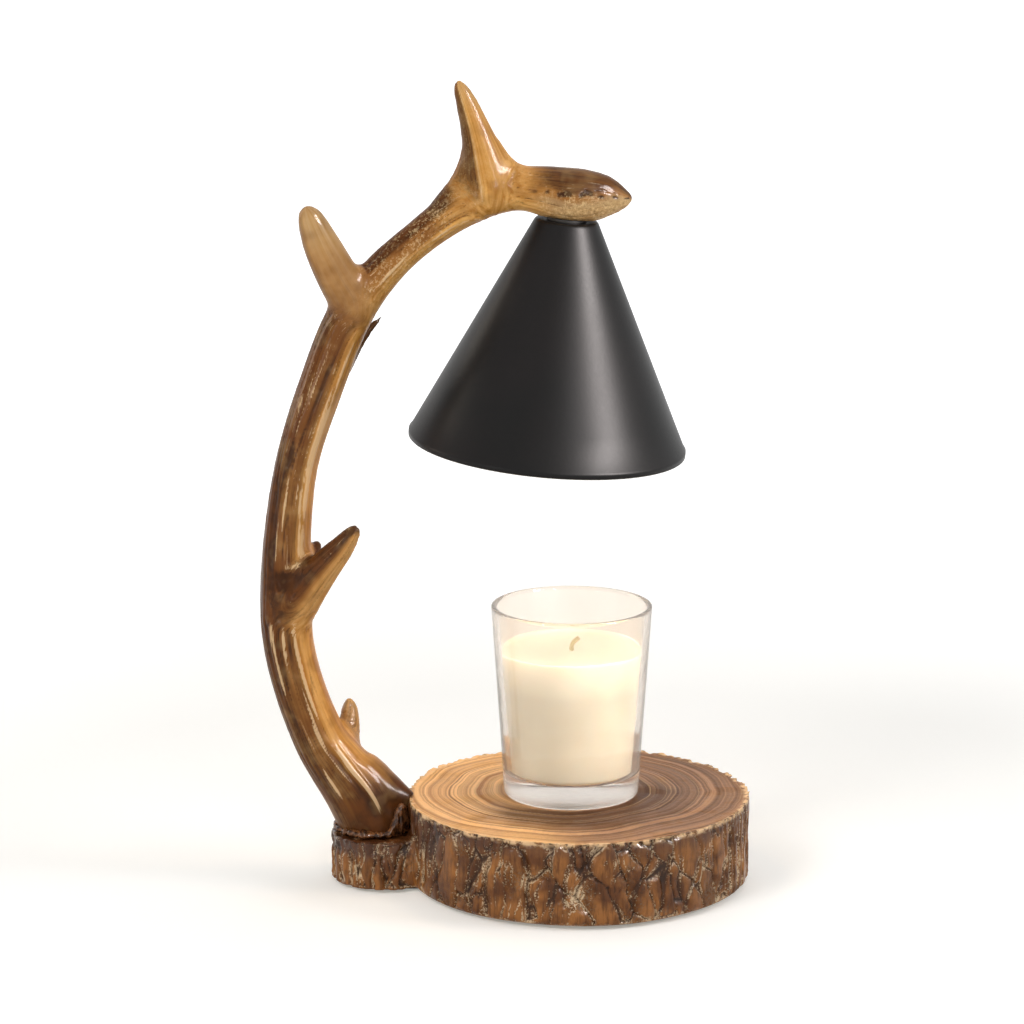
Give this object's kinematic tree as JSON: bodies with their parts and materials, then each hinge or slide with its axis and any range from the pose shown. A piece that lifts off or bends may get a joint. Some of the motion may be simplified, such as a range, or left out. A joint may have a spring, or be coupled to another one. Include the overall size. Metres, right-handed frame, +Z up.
{
  "type": "candle warmer lamp",
  "caption": "Antler-shaped arm on a log slice base holding a cone shade with a reflector lamp over a jar candle.",
  "frame": {"origin": "on the floor, under the middle of the log slice, at the foot pad's underside", "axes": "+X from the antler's foot towards the log slice, +Y to the rear where the cord gland and the dimmer are, +Z up"},
  "size_m": [0.2057, 0.1501, 0.3385],
  "materials": {
    "bark_resin": "lacquered cast resin",
    "antler_resin": "lacquered cast resin",
    "dark_resin": "glossy",
    "shade_paint": "satin",
    "jar_glass": "clear",
    "wax": "smooth wax",
    "wick_cotton": "braided",
    "cover_board": "matt",
    "felt": "felt",
    "zinc_steel": "zinc plated",
    "brass": "plain",
    "white_plastic": "moulded",
    "lead_brown": "insulation",
    "lead_blue": "insulation",
    "lead_black": "insulation",
    "circuit_board": "solder mask",
    "black_plastic": "moulded",
    "shaft_metal": "machined",
    "ceramic": "glazed",
    "reflector_glass": "aluminised",
    "lamp_glass": "clear",
    "tungsten": "drawn wire"
  },
  "bodies": {
    "base": {"stump_base": "bark_resin", "burl_base": "bark_resin", "cover_plate": "cover_board", "cover_screws": "zinc_steel", "foot_pad": "felt", "antler_arm": "antler_resin", "root_bead": "dark_resin", "arm_conduit": "zinc_steel", "root_washer": "zinc_steel", "root_nut": "zinc_steel", "terminal_block": "white_plastic", "terminal_poles": "brass", "terminal_screws": "zinc_steel", "block_screw": "zinc_steel", "lead_live": "lead_brown", "lead_neutral": "lead_blue", "board_leads": "lead_black", "dimmer_body": "black_plastic", "dimmer_nut": "zinc_steel", "dimmer_board": "circuit_board", "cord_gland": "black_plastic", "gland_nut": "zinc_steel", "head_nipple": "zinc_steel", "seat_washer": "zinc_steel", "lock_washer": "zinc_steel", "lock_nut": "zinc_steel"},
    "shade_head": {"shade": "shade_paint", "holder_bracket": "zinc_steel", "lampholder": "ceramic", "holder_contacts": "brass", "holder_screws": "zinc_steel"},
    "lamp": {"bulb_base": "ceramic", "bulb_pins": "brass", "bulb_reflector": "reflector_glass", "bulb_glass": "lamp_glass", "bulb_capsule": "lamp_glass", "bulb_filament": "tungsten"},
    "candle": {"candle_jar": "jar_glass", "candle_wax": "wax", "candle_wick": "wick_cotton", "wick_tab": "zinc_steel"},
    "knob": {"dimmer_shaft": "shaft_metal", "dimmer_knob": "black_plastic"}
  },
  "joints": [
    {"name": "shade_swivel", "type": "hinge", "parent": "base", "child": "shade_head", "pos_m": [-0.0054, 0, 0.281], "axis": [-0.0833, 0.0348, -0.9959], "range_deg": [-90, 90]},
    {"name": "bulb_twist", "type": "hinge", "parent": "shade_head", "child": "lamp", "pos_m": [-0.0054, 0, 0.281], "axis": [-0.0833, 0.0348, -0.9959], "range_deg": [-30, 0]},
    {"name": "candle_lift", "type": "slide", "parent": "base", "child": "candle", "axis": [0, 0, 1], "range_m": [0, 0.05]},
    {"name": "dimmer_turn", "type": "hinge", "parent": "base", "child": "knob", "pos_m": [0, 0.066, 0.015], "axis": [0, 1, 0], "range_deg": [-270, 0]}
  ]
}
